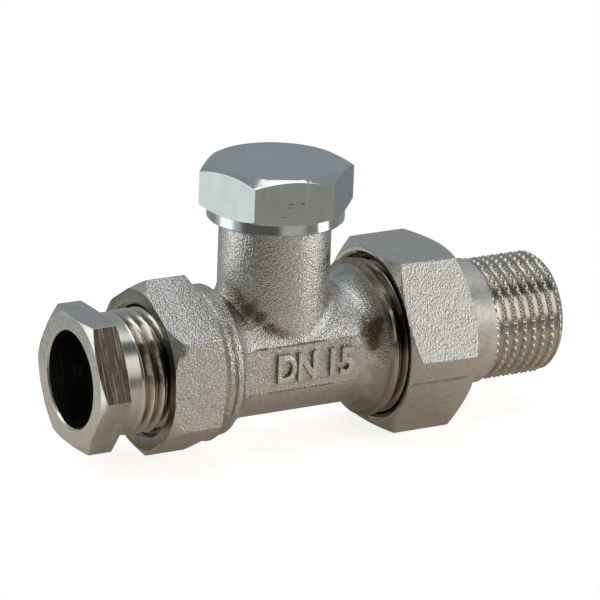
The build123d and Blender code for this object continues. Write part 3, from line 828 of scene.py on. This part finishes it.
def makeCap():
    bm = copyOfNode("protective_cap")
    roundEdges(bm, capValues["edgeRound"], lambda place: neckRadiusOf(place) > capValues["inside"], 3)
    paintFaces(bm, capFinish)
    addPiece("protectiveCap", bm, "cap", [polished, capFacet, turned, rubbed],
             ["protective_cap"])


makeNut()
makeCap()
print("union nut and cap made")


# Mark on the flat

markValues = {
    "words": "DN 15",
    "height": 4.9 * mm,
    "width": 14.0 * mm,
    "rise": 0.60 * mm,
    "sunk": 0.1 * mm,
    "edgeRound": 0.12 * mm,
    "boldness": 0.03,
    "mergeWithin": 1e-4,
    "rimFrom": 60,  # degrees between faces, from which the top's edge is rounded
    "centre": (13.6 * mm, -9.5 * mm, 0.1 * mm),
    "rampStart": 16.8 * mm,
    "rampSlope": 0.159,
    "frontFrom": 0.9,
}


def makeMark():
    text = bpy.data.curves.new("markText", "FONT")
    text.body = markValues["words"]
    text.offset = markValues["boldness"]
    text.align_x = "CENTER"
    text.align_y = "CENTER"
    holder = bpy.data.objects.new("markText", text)
    bpy.context.scene.collection.objects.link(holder)
    bpy.context.view_layer.update()
    mesh = bpy.data.meshes.new_from_object(holder)
    bpy.data.objects.remove(holder)
    bm = bmesh.new()
    bm.from_mesh(mesh)
    bmesh.ops.remove_doubles(bm, verts=bm.verts, dist=markValues["mergeWithin"])
    lowX, highX = min(vert.co.x for vert in bm.verts), max(vert.co.x for vert in bm.verts)
    lowY, highY = min(vert.co.y for vert in bm.verts), max(vert.co.y for vert in bm.verts)
    scaleX = markValues["width"] / (highX - lowX)
    scaleY = markValues["height"] / (highY - lowY)
    bmesh.ops.translate(bm, verts=bm.verts, vec=(-(lowX + highX) / 2, -(lowY + highY) / 2, 0))
    bmesh.ops.scale(bm, verts=bm.verts, vec=(scaleX, scaleY, 1))
    raised = bmesh.ops.extrude_face_region(bm, geom=bm.faces[:])
    top = [item for item in raised["geom"] if isinstance(item, bmesh.types.BMVert)]
    bmesh.ops.translate(bm, verts=top, vec=(0, 0, markValues["rise"] + markValues["sunk"]))
    bmesh.ops.translate(bm, verts=bm.verts, vec=(0, 0, -markValues["sunk"]))
    bmesh.ops.recalc_face_normals(bm, faces=bm.faces)
    rims = [
        edge for edge in bm.edges
        if all(vert.co.z > 0 for vert in edge.verts)
        and edge.calc_face_angle(0) > math.radians(markValues["rimFrom"])
    ]
    bevelEdges(bm, rims, markValues["edgeRound"])
    upright = Matrix.Rotation(math.radians(90), 3, "X")
    bmesh.ops.rotate(bm, verts=bm.verts, cent=(0, 0, 0), matrix=upright)
    bmesh.ops.translate(bm, verts=bm.verts, vec=markValues["centre"])
    for vert in bm.verts:  # the flat runs out in a ramp, and the mark follows it
        vert.co.y -= max(0.0, vert.co.x - markValues["rampStart"]) * markValues["rampSlope"]
    # 0 side, darker as painted shade; 1 top, lighter as painted light
    paintFaces(bm, lambda place, normal: 1 if normal.y < -markValues["frontFrom"] else 0)
    addPiece("sizeMark", bm, "valve", [shadedMarkSide, litMarkSkin])


makeMark()
print("size mark made")


# Floor, studio and camera

stageValues = {
    "centre": (17.8 * mm, 0, 0),
    "floorHeight": -15.1 * mm,
    "floorRadius": 80 * mm,
    "floorColour": (0.86, 0.77, 0.68),
    "floorGlow": 0.80,
    "floorSheen": (0.075, 0.063, 0.049),
    "skyColour": (1.0, 0.98, 0.95),
    "skyStrength": 0.5,
    "studioRadius": 2.0,
    "studioColour": (0.24, 0.24, 0.235),
    "lampDistance": 1.0,
}


def directionOf(azimuth, elevation):
    # azimuth from +X towards +Y, both in degrees
    az, el = math.radians(azimuth), math.radians(elevation)
    return Vector((math.cos(az) * math.cos(el), math.sin(az) * math.cos(el), math.sin(el)))


def rayShare(tree, kinds):
    # 1 for rays of these kinds, and 0 for the others
    path = tree.nodes.new("ShaderNodeLightPath")
    share = path.outputs[kinds[0]]
    for kind in kinds[1:]:
        share = addMath(tree, "MAXIMUM", share, path.outputs[kind])
    return share


def makeWorld():
    # white to the eye and in reflections, and a dim sky for the rest
    world = bpy.data.worlds.new("studioWorld")
    bpy.context.scene.world = world
    world.use_nodes = True
    tree = world.node_tree
    tree.nodes.clear()
    out = tree.nodes.new("ShaderNodeOutputWorld")
    mix = tree.nodes.new("ShaderNodeMixShader")
    light = tree.nodes.new("ShaderNodeBackground")
    light.inputs["Color"].default_value = stageValues["skyColour"] + (1,)
    light.inputs["Strength"].default_value = stageValues["skyStrength"]
    white = tree.nodes.new("ShaderNodeBackground")
    white.inputs["Color"].default_value = (1, 1, 1, 1)
    white.inputs["Strength"].default_value = 1.0
    share = rayShare(tree, ("Is Camera Ray", "Is Glossy Ray", "Is Transmission Ray"))
    tree.links.new(share, mix.inputs["Fac"])
    tree.links.new(light.outputs["Background"], mix.inputs[1])
    tree.links.new(white.outputs["Background"], mix.inputs[2])
    tree.links.new(mix.outputs["Shader"], out.inputs["Surface"])


def stagePiece(name, bm, material):
    mesh = bpy.data.meshes.new(name)
    bm.to_mesh(mesh)
    bm.free()
    mesh.materials.append(material)
    piece = bpy.data.objects.new(name, mesh)
    bpy.context.scene.collection.objects.link(piece)
    return piece


def makeFloor():
    material = bpy.data.materials.new("floorPaper")
    material.use_nodes = True
    tree = material.node_tree
    tree.nodes.clear()
    out = tree.nodes.new("ShaderNodeOutputMaterial")
    paper = tree.nodes.new("ShaderNodeBsdfDiffuse")
    paper.inputs["Color"].default_value = stageValues["floorColour"] + (1,)
    glow = tree.nodes.new("ShaderNodeEmission")
    add = tree.nodes.new("ShaderNodeAddShader")
    camera = rayShare(tree, ("Is Camera Ray",))
    others = rayShare(tree, ("Is Glossy Ray", "Is Transmission Ray"))
    glowing = addMix(tree, others, (0.0, 0.0, 0.0), stageValues["floorSheen"])
    glowing = addMix(tree, camera, glowing, (stageValues["floorGlow"],) * 3)
    tree.links.new(glowing, glow.inputs["Color"])
    tree.links.new(paper.outputs["BSDF"], add.inputs[0])
    tree.links.new(glow.outputs["Emission"], add.inputs[1])
    tree.links.new(add.outputs["Shader"], out.inputs["Surface"])
    bm = bmesh.new()
    bmesh.ops.create_circle(bm, cap_ends=True, segments=96, radius=stageValues["floorRadius"])
    x, y, z = stageValues["centre"]
    bmesh.ops.translate(bm, verts=bm.verts, vec=(x, y, z + stageValues["floorHeight"]))
    stagePiece("floor", bm, material)


# azimuth, elevation, full inside, gone outside, all in degrees, and colour
# a later one lies over the earlier ones
studioPatches = {
    "back": (62, 16, 38, 68, (0.29, 0.32, 0.34)),
    "front": (235, 5, 45, 75, (0.10, 0.102, 0.095)),
    "left": (152, -6, 10, 38, (0.62, 0.665, 0.665)),
    "darkUpper": (326, 53, 7, 17, (0.07, 0.07, 0.065)),
    "frontLow": (272, -18, 12, 26, (0.45, 0.46, 0.415)),
    "table": (290, -90, 52, 64, (0.42, 0.35, 0.27)),
}
# azimuth, elevation, width and height in degrees, brightness, colour
softLamps = {
    "leftStrip": (151, 0, 30, 80, 0.72, (0.93, 1.0, 1.0)),
    "leftUpper": (148, 48, 16, 16, 3.6, (0.95, 1.0, 1.0)),
    "rightStrip": (328, -6, 22, 66, 1.6, (0.98, 1.0, 1.0)),
    "rightUpper": (306, 25, 24, 36, 0.95, (1.0, 0.98, 0.94)),
    "overhead": (20, 84, 38, 38, 1.2, (0.96, 0.99, 1.0)),
}


def makeStudio():
    # a dim soft tent round the object
    material = bpy.data.materials.new("studioCloth")
    material.use_nodes = True
    tree = material.node_tree
    tree.nodes.clear()
    out = tree.nodes.new("ShaderNodeOutputMaterial")
    glow = tree.nodes.new("ShaderNodeEmission")
    coords = tree.nodes.new("ShaderNodeTexCoord")
    aim = tree.nodes.new("ShaderNodeVectorMath")
    aim.operation = "NORMALIZE"
    tree.links.new(coords.outputs["Object"], aim.inputs[0])
    colour = stageValues["studioColour"]
    for azimuth, elevation, inner, outer, tint in studioPatches.values():
        dot = tree.nodes.new("ShaderNodeVectorMath")
        dot.operation = "DOT_PRODUCT"
        dot.inputs[1].default_value = directionOf(azimuth, elevation)
        tree.links.new(aim.outputs["Vector"], dot.inputs[0])
        mask = tree.nodes.new("ShaderNodeMapRange")
        mask.interpolation_type = "SMOOTHSTEP"
        mask.inputs["From Min"].default_value = math.cos(math.radians(outer))
        mask.inputs["From Max"].default_value = math.cos(math.radians(inner))
        tree.links.new(dot.outputs["Value"], mask.inputs["Value"])
        colour = addMix(tree, mask.outputs["Result"], colour, tint)
    tree.links.new(colour, glow.inputs["Color"])
    tree.links.new(glow.outputs["Emission"], out.inputs["Surface"])
    bm = bmesh.new()
    bmesh.ops.create_icosphere(bm, subdivisions=4, radius=stageValues["studioRadius"])
    bmesh.ops.reverse_faces(bm, faces=bm.faces)
    studio = stagePiece("studio", bm, material)
    studio.visible_camera = False
    studio.visible_shadow = False


def makeLamps():
    centre = Vector(stageValues["centre"])
    distance = stageValues["lampDistance"]
    for name, (azimuth, elevation, wide, high, brightness, tint) in softLamps.items():
        towards = directionOf(azimuth, elevation)
        data = bpy.data.lights.new(name, "AREA")
        data.shape = "RECTANGLE"
        data.size = 2 * distance * math.tan(math.radians(wide / 2))
        data.size_y = 2 * distance * math.tan(math.radians(high / 2))
        data.energy = brightness * math.pi * data.size * data.size_y
        data.color = tint
        lamp = bpy.data.objects.new(name, data)
        bpy.context.scene.collection.objects.link(lamp)
        lamp.visible_camera = False
        side = directionOf(azimuth + 90, 0)
        turn = Matrix((side, towards.cross(side), towards)).transposed().to_4x4()
        lamp.matrix_world = Matrix.Translation(centre + towards * distance) @ turn


cameraValues = {  # as fitted to the photo; angles in degrees
    "pivot": (10 * mm, 0, 0),
    "azimuth": -30.311, "elevation": 18.435, "roll": 2.148,
    "right": -5.577 * mm, "up": -8.340 * mm, "away": 815.193 * mm,
    "focalPixels": 4899.67, "imagePixels": 600, "sensorWidth": 36.0,
    "clip": (0.05, 10.0),
}


def makeCamera():
    az, el, roll = (math.radians(cameraValues[key]) for key in ("azimuth", "elevation", "roll"))
    back = Vector((math.sin(az) * math.cos(el), -math.cos(az) * math.cos(el), math.sin(el)))
    right = Vector((math.cos(az), math.sin(az), 0))
    up = back.cross(right)
    rolledRight = right * math.cos(roll) + up * math.sin(roll)
    rolledUp = up * math.cos(roll) - right * math.sin(roll)
    data = bpy.data.cameras.new("camera")
    data.sensor_width = cameraValues["sensorWidth"]
    data.lens = data.sensor_width * cameraValues["focalPixels"] / cameraValues["imagePixels"]
    camera = bpy.data.objects.new("camera", data)
    bpy.context.scene.collection.objects.link(camera)
    place = Vector(cameraValues["pivot"]) - rolledRight * cameraValues["right"]
    place += back * cameraValues["away"] - rolledUp * cameraValues["up"]
    turn = Matrix((rolledRight, rolledUp, back)).transposed().to_4x4()
    camera.matrix_world = Matrix.Translation(place) @ turn
    data.clip_start, data.clip_end = cameraValues["clip"]
    bpy.context.scene.camera = camera


makeWorld()
makeFloor()
makeStudio()
makeLamps()
makeCamera()
bpy.context.scene.view_settings.view_transform = "Standard"
print("stage and camera made")
